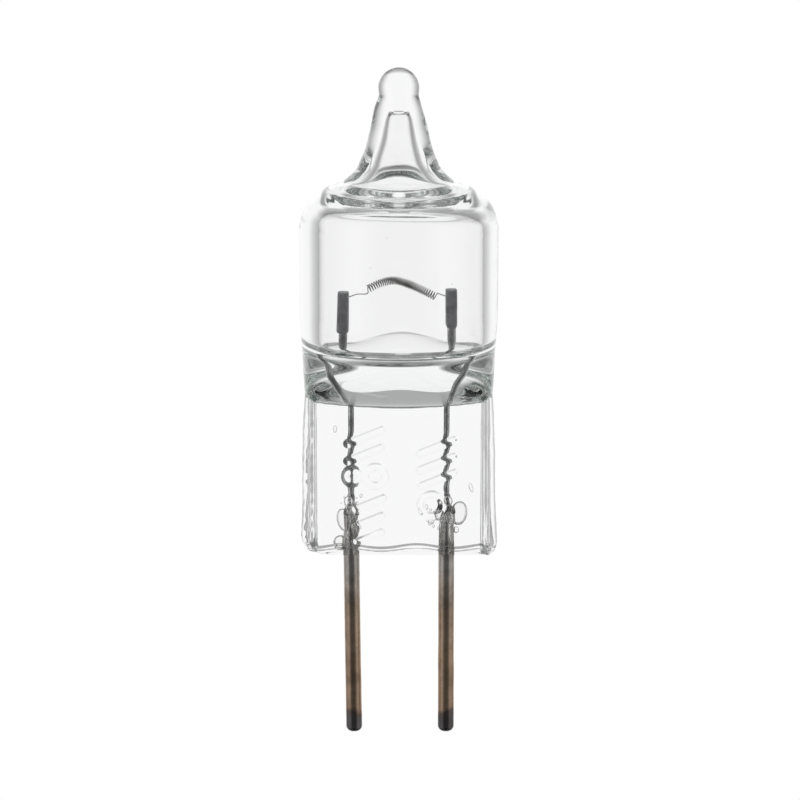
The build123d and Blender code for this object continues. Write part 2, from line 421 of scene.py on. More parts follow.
def pressedRing(z, g):
    # one level of the pinch and shoulder: a circle cut off in front and behind by the pressed faces
    t = np.linspace(0, 2 * math.pi, g["sides"], endpoint=False)
    window = g["halfThick"] - g["windowDepth"]
    corners = (g["leftCorner"], g["rightCorner"])
    cornerCut = [r - math.sqrt(max(r * r - max(r - z, 0) ** 2, 0)) for r in corners]
    half = np.interp(z, [h for h, _ in sideOutline], [w for _, w in sideOutline])
    reach = np.where(np.sin(t) < 0, half - cornerCut[0], half - cornerCut[1])
    x = reach * np.sin(t)
    side = np.sign(-np.cos(t))
    edge = max(g["edgeRound"] - z, 0)
    edgeCut = g["edgeRound"] - math.sqrt(max(g["edgeRound"] ** 2 - edge**2, 0))
    dip = g["creaseDip"] * (1 - (x / g["windowHalf"]) ** 2)
    risen = np.clip((z + np.clip(dip, -0.1, 1) - g["pinchTop"]) / (g["shoulderTop"] - g["pinchTop"]), 0, 1)
    sunk = 0.5 + (g["windowHalf"] - np.abs(x)) / g["windowBevel"]
    sunk = softMax(softMin(sunk, 1, 0.25), 0, 0.25)
    slab = g["halfThick"] - edgeCut - sunk * g["windowDepth"]
    bulge = g["shoulderBulge"]
    slope = window + (half - window) * (1 - (1 - risen) ** bulge) ** (1 / bulge)
    thick = softMax(slab, slope, 0.10)
    power = 2 + (g["squareness"] - 2) * (1 - risen) ** g["squareFade"]
    y = np.minimum(thick, half) * (1 - np.abs(np.sin(t)) ** power) ** (1 / power) * side
    front = (side < 0) & (np.abs(x) < g["windowHalf"])
    y = np.where(front, y - markRelief(x, np.full_like(x, z)), y)
    return np.stack([x, y, np.full_like(x, z)], axis=1)


def outerRings(g):
    rounding = [g["edgeRound"] * (1 - math.cos(math.radians(a))) for a in range(0, 91, 9)]
    levels = rounding + list(np.arange(0.60, g["pinchTop"] - 0.2, g["pinchStep"]))
    levels += list(np.arange(levels[-1] + 0.05, 10.0, g["shoulderStep"]))
    rings = [pressedRing(z, g) for z in levels]
    seat = rings[0]
    rings = [seat * np.array([s, s, 1]) for s in (0.02, 0.2, 0.4, 0.6, 0.8, 0.93)] + rings
    r, top, knob = g["radius"], g["top"], g["knobRadius"]
    side = [(r, z) for z in np.linspace(levels[-1] + 0.15, 13.3, 24)]
    cone = curveThrough(
        [(r, 13.4), (r - 0.01, 13.78), (3.94, 14.42), (3.58, 14.96), (2.86, 15.43), (2.36, 15.59),
         (2.07, 15.78), (1.75, 16.11), (1.57, 16.48), (1.40, 16.95), (1.21, 17.74), (0.96, 18.68),
         (0.85, 19.02), (0.82, 19.14), (knob, top - knob + 0.02)], 110)
    ball = arc((0, top - knob), knob, 2, 88, 20)
    profile = [*side, *cone, *ball[1:]]
    rings += turned(profile, g["sides"])
    return rings


def roughen(rings, g):
    # the small unevenness of worked glass: lively on the tip's flanks and the side rails, faint elsewhere
    rings = np.array(rings)
    x, y, z = rings[..., 0], rings[..., 1], rings[..., 2]
    away = np.hypot(x, y) + 1e-6
    tip = smoothStep(16.0, 16.6, z) * smoothStep(19.6, 19.0, z)
    leftRail = smoothStep(-3.60, -3.80, x) * smoothStep(6.4, 5.6, z) * smoothStep(0.4, 1.2, z)
    rightRail = smoothStep(3.55, 3.85, x) * smoothStep(6.4, 5.6, z) * smoothStep(0.2, 0.8, z)
    amount = 0.028 * tip * waves(x, y, z, g["seed"], low=0.5, high=1.1)
    amount += 0.022 * leftRail * waves(x, y, z, g["seed"] + 1, low=1.0, high=3.6)
    amount += 0.010 * rightRail * waves(x, y, z, g["seed"] + 2, low=0.6, high=1.6)
    amount += 0.004 * waves(x, y, z, g["seed"] + 3, low=0.05, high=0.25)
    rings[..., 0] += amount * x / away
    rings[..., 1] += amount * y / away
    return rings


def cavityRings(g):
    r, low, high = g["bore"], g["floor"], g["ceiling"]
    heel, eave = g["floorRound"], g["ceilingRound"]
    flat = [(s * (r - heel), low) for s in np.linspace(0.02, 1, 40)]
    corner = arc((r - heel, low + heel), heel, -90, 0, 12)
    side = [(r, z) for z in np.linspace(low + heel + 0.3, high - eave - 0.1, 18)]
    upper = arc((r - eave, high - eave), eave, 0, 90, 12)
    bore = curveThrough(
        [(r - eave, high), (2.35, 14.64), (1.60, 14.98), (1.12, 15.50), (0.86, 16.1), (0.64, 16.95), (0.50, 17.7),
         (0.38, 18.22), (0.24, 18.39), (0.0, 18.28)], 50)
    profile = [*flat, *corner[1:], *side, *upper, *bore[1:-1]]
    rings = np.array(turned(profile, g["innerSides"]))
    x, y, z = rings[..., 0], rings[..., 1], rings[..., 2]
    back = np.clip((y + r) / (2 * r), 0, 1)
    bell = np.cos(np.clip(x / g["humpHalf"], -1, 1) * math.pi / 2) ** 2
    hump = g["floorTilt"] * back + g["humpRise"] * bell * back**2
    rings[..., 2] += hump * smoothStep(low + 2, low + heel, z)
    rings[..., 0] += g["boreShift"] * smoothStep(high, high - 1, z)
    return rings


bubbles = [  # x, y, z, half width, half height, tilt in degrees
    (-2.66, -0.20, 5.28, 0.085, 0.15, 0),
    (3.02, -0.20, 2.80, 0.085, 0.21, 16),
    (-2.44, -0.56, 0.50, 0.31, 0.32, 0),
    (-2.30, -0.55, 1.46, 0.30, 0.50, 12),
    (-1.96, -0.50, 1.72, 0.13, 0.30, -12),
    (-2.10, -0.55, 2.22, 0.20, 0.26, 8),
    (-1.72, -0.45, 1.24, 0.09, 0.16, 0),
    (2.52, -0.30, 1.72, 0.36, 0.52, -8),
    (2.02, -0.55, 2.26, 0.24, 0.22, 0),
    (1.66, -0.52, 1.70, 0.17, 0.24, 0),
    (2.12, -0.56, 1.55, 0.15, 0.26, 6),
    (1.36, -0.40, 1.40, 0.12, 0.14, 20),
    (1.10, -0.30, 1.94, 0.10, 0.16, -15),
    (2.40, -0.35, 1.02, 0.13, 0.14, 0),
]
froth = {  # the fine bubbles about each weld
    "count": 34,
    "places": [(-2.05, 2.05), (1.85, 1.55)],  # as (x, z)
    "spread": [(0.36, 0.42), (0.55, 0.42)],
    "sizes": (0.025, 0.075),
    "depth": (-0.66, -0.44),  # in y
    "seed": 17,
}
specks = [(-0.47, 13.57), (-1.11, 12.34), (2.09, 11.66)]  # tiny seeds in the vessel's wall, as (x, z)


def bubbleRings(x, y, z, wide, tall, tilt, sides=20, steps=12):
    # a gas bubble stretched along its own axis and leaned over in the plane of the pinch
    lean = math.radians(tilt)
    rings = []
    for a in np.radians(np.linspace(-86, 86, steps)):
        t = np.linspace(0, 2 * math.pi, sides, endpoint=False)
        px, py = wide * math.cos(a) * np.sin(t), -0.45 * wide * math.cos(a) * np.cos(t)
        pz = np.full(sides, tall * math.sin(a))
        rings.append(np.stack([x + px * math.cos(lean) - pz * math.sin(lean), y + py,
                               z + px * math.sin(lean) + pz * math.cos(lean)], axis=1))
    return rings


def makeGlass(g, material):
    parts = MeshParts()
    parts.addShell(roughen(outerRings(g), g))
    parts.addShell(cavityRings(g), inside=True)
    for bubble in bubbles:
        parts.addShell(bubbleRings(*bubble), inside=True)
    rng = np.random.default_rng(froth["seed"])
    for (x, z), (wide, tall) in zip(froth["places"], froth["spread"]):
        for _ in range(froth["count"]):
            size = rng.uniform(*froth["sizes"])
            spot = (x + rng.normal(0, wide / 2), rng.uniform(*froth["depth"]), z + rng.normal(0, tall / 2))
            stretch = size * rng.uniform(1, 1.7)
            parts.addShell(bubbleRings(*spot, size, stretch, rng.uniform(-30, 30), 12, 8), inside=True)
    for x, z in specks:
        middle = (g["radius"] + g["bore"]) / 2
        parts.addShell(bubbleRings(x, -math.sqrt(middle**2 - x * x), z, 0.022, 0.022, 0, 12, 8), inside=True)
    piece = parts.write("glassBulb", material)
    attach(piece, body)
    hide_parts("glass_envelope")
    return piece


def markGroup(kind):
    # the half-round bead of one raised mark, a straight bar or a ring; sizes are in millimetres
    group, given, result = nodeGroup(
        kind + "Mark",
        [("Place", "NodeSocketVector", (0, 0, 0)), ("Centre", "NodeSocketVector", (0, 0, 0)),
         ("Reach", "NodeSocketFloat", 0.5), ("Half Width", "NodeSocketFloat", 0.1)],
        [("Height", "NodeSocketFloat")])
    nodes, links = group.nodes, group.links
    away = nodes.new("ShaderNodeVectorMath")
    away.operation = "SUBTRACT"
    links.new(given.outputs["Place"], away.inputs[0])
    links.new(given.outputs["Centre"], away.inputs[1])
    turnBack = nodes.new("ShaderNodeVectorRotate")
    turnBack.rotation_type = "Y_AXIS"
    turnBack.inputs["Angle"].default_value = markLean
    links.new(away.outputs[0], turnBack.inputs["Vector"])
    split = nodes.new("ShaderNodeSeparateXYZ")
    links.new(turnBack.outputs[0], split.inputs[0])
    wide = given.outputs["Half Width"]
    if kind == "bar":
        past = mathNode(nodes, links, "SUBTRACT", mathNode(nodes, links, "ABSOLUTE", split.outputs["X"], 0),
                        mathNode(nodes, links, "SUBTRACT", given.outputs["Reach"], wide))
        past = mathNode(nodes, links, "MAXIMUM", past, 0)
        far = mathNode(nodes, links, "SQRT", mathNode(
            nodes, links, "ADD", mathNode(nodes, links, "POWER", past, 2),
            mathNode(nodes, links, "MULTIPLY", split.outputs["Z"], split.outputs["Z"])), 0)
    else:
        fromMiddle = mathNode(nodes, links, "SQRT", mathNode(
            nodes, links, "ADD", mathNode(nodes, links, "MULTIPLY", split.outputs["X"], split.outputs["X"]),
            mathNode(nodes, links, "MULTIPLY", split.outputs["Z"], split.outputs["Z"])), 0)
        offRing = mathNode(nodes, links, "SUBTRACT", fromMiddle, given.outputs["Reach"])
        far = mathNode(nodes, links, "ABSOLUTE", offRing, 0)
    share = mathNode(nodes, links, "DIVIDE", far, wide)
    level = mathNode(nodes, links, "MAXIMUM", mathNode(
        nodes, links, "SUBTRACT", 1, mathNode(nodes, links, "MULTIPLY", share, share)), 0)
    links.new(mathNode(nodes, links, "MULTIPLY", level, level), result.inputs["Height"])
    return group


def marksGroup():
    # all the marks together, on the front of the pinch only
    group, given, result = nodeGroup("pressedMarks", [], [("Height", "NodeSocketFloat")])
    nodes, links = group.nodes, group.links
    coord = nodes.new("ShaderNodeTexCoord")
    place = nodes.new("ShaderNodeVectorMath")
    place.operation = "MULTIPLY"
    place.inputs[1].default_value = (1 / mm, 0, 1 / mm)
    links.new(coord.outputs["Object"], place.inputs[0])
    kinds = {"bar": markGroup("bar"), "ring": markGroup("ring")}
    total = None
    for kind, x, z, reach, half in marks:
        mark = nodes.new("ShaderNodeGroup")
        mark.node_tree = kinds[kind]
        links.new(place.outputs[0], mark.inputs["Place"])
        mark.inputs["Centre"].default_value = (x, 0, z)
        mark.inputs["Reach"].default_value = reach
        mark.inputs["Half Width"].default_value = half
        height = mark.outputs["Height"]
        total = mathNode(nodes, links, "MAXIMUM", total, height) if total else height
    flat = nodes.new("ShaderNodeSeparateXYZ")
    links.new(place.outputs[0], flat.inputs[0])
    wander = mathNode(nodes, links, "MULTIPLY", flat.outputs["X"], footRib["waves"])
    wander = mathNode(nodes, links, "SINE", wander, 0)
    wander = mathNode(nodes, links, "MULTIPLY", wander, footRib["wander"])
    ribFar = mathNode(nodes, links, "SUBTRACT", flat.outputs["Z"], footRib["height"])
    ribFar = mathNode(nodes, links, "SUBTRACT", ribFar, wander)
    ribShare = mathNode(nodes, links, "DIVIDE", ribFar, footRib["half"])
    rib = mathNode(nodes, links, "MAXIMUM", mathNode(
        nodes, links, "SUBTRACT", 1, mathNode(nodes, links, "MULTIPLY", ribShare, ribShare)), 0)
    total = mathNode(nodes, links, "MAXIMUM", total, rib)
    split = nodes.new("ShaderNodeSeparateXYZ")
    links.new(coord.outputs["Object"], split.inputs[0])
    front = mathNode(nodes, links, "LESS_THAN", split.outputs["Y"], -0.5 * mm)
    links.new(mathNode(nodes, links, "MULTIPLY", total, front), result.inputs["Height"])
    return group


def clearGlass():
    material = bpy.data.materials.new("clearGlass")
    material.use_nodes = True
    nodes, links = material.node_tree.nodes, material.node_tree.links
    shader = nodes["Principled BSDF"]
    shader.inputs["Base Color"].default_value = (1, 1, 1, 1)
    shader.inputs["Roughness"].default_value = 0
    shader.inputs["IOR"].default_value = 1.47
    shader.inputs["Transmission Weight"].default_value = 1
    raised = nodes.new("ShaderNodeGroup")
    raised.node_tree = marksGroup()
    bump = nodes.new("ShaderNodeBump")
    bump.inputs["Strength"].default_value = 1
    bump.inputs["Distance"].default_value = markFinish * mm
    links.new(raised.outputs["Height"], bump.inputs["Height"])
    links.new(bump.outputs["Normal"], shader.inputs["Normal"])
    tint = nodes.new("ShaderNodeVolumeAbsorption")
    tint.inputs["Color"].default_value = (0.80, 0.92, 0.86, 1)
    tint.inputs["Density"].default_value = 25
    links.new(tint.outputs[0], nodes["Material Output"].inputs["Volume"])
    return material


makeGlass(glass, clearGlass())


# metal finishes
def drawnWireGroup():
    # oxide clouds, small dark pits and the long lines left by the drawing die
    group, given, result = nodeGroup(
        "drawnWire",
        [("Clean", "NodeSocketColor", (0.4, 0.4, 0.4, 1)), ("Oxide", "NodeSocketColor", (0.1, 0.1, 0.1, 1)),
         ("Oxide Amount", "NodeSocketFloat", 0.5), ("Smooth", "NodeSocketFloat", 0.25),
         ("Rough", "NodeSocketFloat", 0.5)],
        [("Colour", "NodeSocketColor"), ("Roughness", "NodeSocketFloat"), ("Height", "NodeSocketFloat")])
    nodes, links = group.nodes, group.links
    coord = nodes.new("ShaderNodeTexCoord")
    stretch = nodes.new("ShaderNodeMapping")
    stretch.inputs["Scale"].default_value = (1, 1, 0.06)
    links.new(coord.outputs["Object"], stretch.inputs["Vector"])
    lines = noiseAt(nodes, links, stretch.outputs["Vector"], 22000, 3)
    clouds = noiseAt(nodes, links, coord.outputs["Object"], 1500, 4)
    pits = noiseAt(nodes, links, coord.outputs["Object"], 9000, 2)
    cloudMask = nodes.new("ShaderNodeMapRange")
    cloudMask.inputs["From Min"].default_value = 0.38
    cloudMask.inputs["From Max"].default_value = 0.66
    links.new(clouds, cloudMask.inputs["Value"])
    pitMask = nodes.new("ShaderNodeMapRange")
    pitMask.inputs["From Min"].default_value = 0.60
    pitMask.inputs["From Max"].default_value = 0.72
    links.new(pits, pitMask.inputs["Value"])
    spread = mathNode(nodes, links, "MAXIMUM", cloudMask.outputs["Result"], pitMask.outputs["Result"])
    cover = mathNode(nodes, links, "MULTIPLY", spread, given.outputs["Oxide Amount"])
    mixed = mixColours(nodes, links, cover, given.outputs["Clean"], given.outputs["Oxide"])
    links.new(mixed, result.inputs["Colour"])
    finish = nodes.new("ShaderNodeMapRange")
    links.new(mathNode(nodes, links, "ADD", cover, mathNode(nodes, links, "MULTIPLY", lines, 0.3)),
              finish.inputs["Value"])
    links.new(given.outputs["Smooth"], finish.inputs["To Min"])
    links.new(given.outputs["Rough"], finish.inputs["To Max"])
    links.new(finish.outputs["Result"], result.inputs["Roughness"])
    sunkPits = mathNode(nodes, links, "MULTIPLY", pitMask.outputs["Result"], 0.8)
    height = mathNode(nodes, links, "SUBTRACT", lines, sunkPits)
    links.new(height, result.inputs["Height"])
    return group


def heatTintGroup(s):
    # the pin's colour along its length: silver by the glass, bronze below, dark at the tip
    group, given, result = nodeGroup(
        "heatTint", [("Wander", "NodeSocketFloat", 0.3)], [("Colour", "NodeSocketColor")])
    nodes, links = group.nodes, group.links
    coord = nodes.new("ShaderNodeTexCoord")
    split = nodes.new("ShaderNodeSeparateXYZ")
    links.new(coord.outputs["Object"], split.inputs[0])
    drift = mathNode(nodes, links, "SUBTRACT", noiseAt(nodes, links, coord.outputs["Object"], 900, 3), 0.5)
    wander = mathNode(nodes, links, "MULTIPLY", given.outputs["Wander"], mm)
    shift = mathNode(nodes, links, "MULTIPLY", drift, wander)
    height = mathNode(nodes, links, "ADD", split.outputs["Z"], shift)
    along = nodes.new("ShaderNodeMapRange")
    along.inputs["From Min"].default_value = s["low"] * mm
    along.inputs["From Max"].default_value = s["high"] * mm
    links.new(height, along.inputs["Value"])
    ramp = nodes.new("ShaderNodeValToRGB")
    reach = s["high"] - s["low"]
    fillRamp(ramp.color_ramp, [((z - s["low"]) / reach, colour) for z, colour in s["tints"]])
    links.new(along.outputs["Result"], ramp.inputs[0])
    links.new(ramp.outputs["Color"], result.inputs["Colour"])
    return group


def metalMaterial(name, s, tint=None):
    material = bpy.data.materials.new(name)
    material.use_nodes = True
    nodes, links = material.node_tree.nodes, material.node_tree.links
    shader = nodes["Principled BSDF"]
    shader.inputs["Metallic"].default_value = s["metallic"]
    wire = nodes.new("ShaderNodeGroup")
    wire.node_tree = drawnWire
    wire.inputs["Clean"].default_value = (*s["clean"], 1)
    wire.inputs["Oxide"].default_value = (*s["oxide"], 1)
    wire.inputs["Oxide Amount"].default_value = s["amount"]
    wire.inputs["Smooth"].default_value = s["smooth"]
    wire.inputs["Rough"].default_value = s["rough"]
    if tint:
        heat = nodes.new("ShaderNodeGroup")
        heat.node_tree = tint
        heat.inputs["Wander"].default_value = s["wander"]
        links.new(heat.outputs["Colour"], wire.inputs["Clean"])
    bump = nodes.new("ShaderNodeBump")
    bump.inputs["Strength"].default_value = s["bump"]
    bump.inputs["Distance"].default_value = 0.01 * mm
    links.new(wire.outputs["Height"], bump.inputs["Height"])
    links.new(wire.outputs["Colour"], shader.inputs["Base Color"])
    links.new(wire.outputs["Roughness"], shader.inputs["Roughness"])
    links.new(bump.outputs["Normal"], shader.inputs["Normal"])
    return material


drawnWire = drawnWireGroup()
tintSettings = {
    "low": pinLow[2],
    "high": 2.0,
    "tints": [  # by height
        (pinLow[2] + 0.55, (0.20, 0.19, 0.20)), (pinLow[2] + 0.85, (0.22, 0.17, 0.15)),
        (pinLow[2] + 1.05, (0.60, 0.42, 0.29)), (-4.5, (0.66, 0.47, 0.33)), (-2.6, (0.66, 0.50, 0.37)),
        (-1.6, (0.72, 0.61, 0.52)), (-0.7, (0.74, 0.70, 0.66)), (2.0, (0.80, 0.79, 0.78))],
}
wireMetal = metalMaterial("leadMetal", {
    "clean": (0.80, 0.80, 0.81), "oxide": (0.22, 0.22, 0.22), "amount": 0.75, "smooth": 0.16, "rough": 0.40,
    "metallic": 0.9, "bump": 0.35})
darkMetal = metalMaterial("clampMetal", {
    "clean": (0.72, 0.72, 0.75), "oxide": (0.34, 0.34, 0.37), "amount": 0.8, "smooth": 0.30, "rough": 0.60,
    "metallic": 0.7, "bump": 0.45})
coilMetal = metalMaterial("coilMetal", {
    "clean": (0.66, 0.65, 0.64), "oxide": (0.12, 0.11, 0.11), "amount": 0.8, "smooth": 0.28, "rough": 0.5,
    "metallic": 0.8, "bump": 0.2})
weldMetal = metalMaterial("weldMetal", {
    "clean": (0.70, 0.69, 0.67), "oxide": (0.08, 0.08, 0.08), "amount": 0.9, "smooth": 0.2, "rough": 0.6,
    "metallic": 0.9, "bump": 0.8})
pinMetal = metalMaterial("pinMetal", {
    "clean": (0.5, 0.4, 0.3), "oxide": (0.10, 0.08, 0.06), "amount": 0.45, "smooth": 0.08, "rough": 0.22,
    "metallic": 1, "bump": 0.15, "wander": 0.8}, heatTintGroup(tintSettings))
print("metal finishes ready")


# the contact pins, one ring profile each, with the left one leaning in slightly
def makePin(s):
    r = s["radius"]
    low, foot, top = s["low"], s["endRound"], s["top"]
    quarter = np.radians(np.linspace(0, 90, 10))
    end = [(r - foot + foot * math.sin(a), low + foot - foot * math.cos(a)) for a in quarter]
    shank = [(r, z) for z in np.linspace(low + foot + 0.1, -0.05, 60)]
    sealed = [(r - (r - s["sealedRadius"]) * z / top, z) for z in np.linspace(0.1, top, 14)]
    profile = [(0.4 * (r - foot), low), *end, *shank, *sealed, (0.6 * s["sealedRadius"], top)]
    rings = np.array(turned(profile, s["sides"]))
    x, y, z = rings[..., 0], rings[..., 1], rings[..., 2]
    dent = 1 + s["unevenness"] * waves(x, y, z, s["seed"], low=0.15, high=1.1)
    rings[..., :2] *= dent[..., None]
    rings[..., 0] += s["x"] + s["lean"] * np.clip(-z / -low, 0, 1)
    parts = MeshParts()
    parts.addShell(rings)
    finished(parts.write(s["name"], pinMetal), s["node"])


def finished(piece, node):
    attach(piece, body)
    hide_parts(node)


for side, middle in (("left", pinLeftX), ("right", pinRightX)):
    makePin({
        "name": "contactPin_" + side,
        "node": "contact_pin_" + side,
        "x": middle,
        "lean": 0.10 if side == "left" else 0.0,
        "radius": 0.34,
        "sealedRadius": 0.30,
        "endRound": 0.24,
        "low": pinLow[2],
        "top": pinHigh[2],
        "unevenness": 0.012,
        "sides": 40,
        "seed": 11 if side == "left" else 12,
    })


# strips and wires that follow a path
def swept(path, wide, thick, power, sides, across=(1, 0, 0)):
    # rings of a rounded section along the path; wide and thick are half sizes, one value or one per point
    path = np.array(path, float)
    tangent = np.gradient(path, axis=0)
    tangent /= np.linalg.norm(tangent, axis=1)[:, None]
    side = np.array(across, float) - tangent * (tangent @ np.array(across, float))[:, None]
    side /= np.linalg.norm(side, axis=1)[:, None]
    up = np.cross(tangent, side)
    t = np.linspace(0, 2 * math.pi, sides, endpoint=False)
    c, s = np.cos(t), np.sin(t)
    u = np.sign(c) * np.abs(c) ** (2 / power)
    v = np.sign(s) * np.abs(s) ** (2 / power)
    wide = np.broadcast_to(wide, len(path))[:, None, None]
    thick = np.broadcast_to(thick, len(path))[:, None, None]
    return path[:, None] + side[:, None] * wide * u[None, :, None] + up[:, None] * thick * v[None, :, None]


def softEnds(count, depth, least=0.35):
    # a factor along a strip that rounds off its two ends
    at = np.minimum(np.arange(count), np.arange(count)[::-1]) / depth
    return least + (1 - least) * np.sqrt(np.clip(1 - (1 - np.clip(at, 0, 1)) ** 2, 0, 1))


def makeClamp(s):
    # a strip folded over its top edge, pinched on the filament's leg, its front leaf shorter than its back leaf
    half, gap, leaf = s["halfThick"], s["halfThick"] * 0.5, s["halfThick"] * 0.5
    top, low, step = s["top"], s["low"], s["step"]
    over = np.radians(np.linspace(0, 180, 15))
    bend = [(-gap * math.cos(a), top - leaf - gap + gap * math.sin(a)) for a in over]
    front = [(-gap, z) for z in np.linspace(step, top - leaf - gap, 30, endpoint=False)]
    back = [(gap, z) for z in np.linspace(top - leaf - gap, low, 36)[1:]]
    line = np.array([(s["x"], y, z) for y, z in [*front, *bend, *back]])
    count = len(line)
    wide = s["halfWidth"] * softEnds(count, 3)
    wide *= np.where(line[:, 1] > 0, np.where(line[:, 2] < step, s["tailShare"], 1.0), 1.0)
    thick = leaf * 0.92 * softEnds(count, 2)
    rings = swept(line, wide, thick, 5, 28)
    x, y, z = rings[..., 0], rings[..., 1], rings[..., 2]
    rings[..., 0] += 0.012 * waves(x, y, z, s["seed"], low=0.2, high=0.8) + s["tilt"] * (z - low)
    rings[..., 1] += 0.010 * waves(x, y, z, s["seed"] + 1, low=0.3, high=1.2)
    pinch = np.exp(-((z - s["legHeight"]) / 0.16) ** 2) * (y < 0)
    rings[..., 1] += 0.03 * pinch
    parts = MeshParts()
    parts.addShell(rings)
    finished(parts.write(s["name"], darkMetal), s["node"])


def clampSettings(side):
    low, high = [np.array(p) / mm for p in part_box("filament_clamp_" + side)]
    return {
        "name": "filamentClamp_" + side,
        "node": "filament_clamp_" + side,
        "x": (low[0] + high[0]) / 2,
        "halfWidth": (high[0] - low[0]) / 2,
        "halfThick": (high[1] - low[1]) / 2,
        "top": high[2],
        "low": low[2],
        "step": low[2] + 0.02,
        "tailShare": 0.8,
        "tilt": 0.012 if side == "left" else -0.006,
        "legHeight": high[2] - 0.31,
        "seed": 21 if side == "left" else 31,
    }


def makeLead(s):
    # round wire up through the glass, hammered flat where it comes out to meet the clamp
    line = curveThrough(s["route"], 120)
    flat = smoothStep(s["flatFrom"], s["flatFrom"] + 0.5, line[:, 2])
    wide = (s["radius"] + (s["tongueHalf"] - s["radius"]) * flat) * softEnds(120, 3, 0.5)
    thick = (s["radius"] + (s["tongueThick"] - s["radius"]) * flat) * softEnds(120, 3, 0.5)
    rings = swept(line, wide, thick, 2.3, 20)
    x, y, z = rings[..., 0], rings[..., 1], rings[..., 2]
    rings[..., 0] += 0.006 * waves(x, y, z, s["seed"], low=0.1, high=0.9)
    rings[..., 1] += 0.006 * waves(x, y, z, s["seed"] + 1, low=0.1, high=0.9)
    parts = MeshParts()
    parts.addShell(rings)
    finished(parts.write(s["name"], wireMetal), s["node"])


def leadSettings(side):
    low, high = [np.array(p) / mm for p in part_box("inner_lead_" + side)]
    clampLow, clampHigh = [np.array(p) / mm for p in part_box("filament_clamp_" + side)]
    foot = pinLeftX if side == "left" else pinRightX
    head = (clampLow[0] + clampHigh[0]) / 2
    bendLow, bendHigh = low[2] + 4.9, low[2] + 6.0
    return {
        "name": "innerLead_" + side,
        "node": "inner_lead_" + side,
        "route": [(foot, 0, low[2] + 0.02), (foot, 0, low[2] + 1.5), (foot, 0, low[2] + 3.4),
                  (foot, 0, bendLow - 0.4),
                  (foot * 0.9 + head * 0.1, 0, bendLow), (foot * 0.35 + head * 0.65, 0, bendHigh - 0.2),
                  (head, 0, bendHigh + 0.35), (head, 0.05, clampLow[2] - 0.1), (head, 0.10, clampLow[2] + 0.6)],
        "radius": 0.125,
        "tongueHalf": 0.18,
        "tongueThick": 0.10,
        "flatFrom": clampLow[2] - 0.9,
        "seed": 41 if side == "left" else 51,
    }


for side in ("left", "right"):
    makeClamp(clampSettings(side))
    makeLead(leadSettings(side))


# the weld beads where each lead meets its pin: a lumpy collar drawn down over the pin's end
def makeBead(s):
    low, high, r = s["low"], s["high"], s["radius"]
    profile = [(0.5 * r, low), (0.80 * r, low + 0.03), (0.86 * r, low + 0.12), (0.74 * r, low + 0.26),
               (0.52 * r, low + 0.42), (0.46 * r, high - 0.25), (0.40 * r, high - 0.10), (0.22 * r, high)]
    rings = np.array(turned(curveThrough(profile, 40), 36, (s["x"], 0)))
    x, y, z = rings[..., 0], rings[..., 1], rings[..., 2]
    lump = 1 + 0.10 * waves(x, y, z, s["seed"], low=0.3, high=1.0)
    inside = smoothStep(low, low + 0.1, z) * smoothStep(high, high - 0.1, z)
    rings[..., 0] = s["x"] + (x - s["x"]) * (1 + (lump - 1.1) * inside)
    rings[..., 1] = y * (1 + (lump - 1.1) * inside)
    parts = MeshParts()
    parts.addShell(rings)
    finished(parts.write(s["name"], weldMetal), s["node"])


for side in ("left", "right"):
    low, high = [np.array(p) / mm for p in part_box("weld_bead_" + side)]
    makeBead({
        "name": "weldBead_" + side,
        "node": "weld_bead_" + side,
        "x": (low[0] + high[0]) / 2,
        "radius": (high[0] - low[0]) / 2,
        "low": low[2],
        "high": high[2],
        "seed": 61 if side == "left" else 62,
    })
print("pins, leads, clamps and beads ready")


# the filament: one wire wound by a Geometry Nodes tree along the coil's axis, with a leg to each clamp
filament = {
    "turns": 36,
    "radius": 0.155,  # of the winding, to the middle of the wire
    "wire": 0.020,
    "pointsPerTurn": 20,
    "looseness": 0.24,  # how much further apart the end turns stand than the middle ones
}


def addNode(tree, kind, **values):
    node = tree.nodes.new(kind)
    for key, value in values.items():
        setattr(node, key, value)
    return node


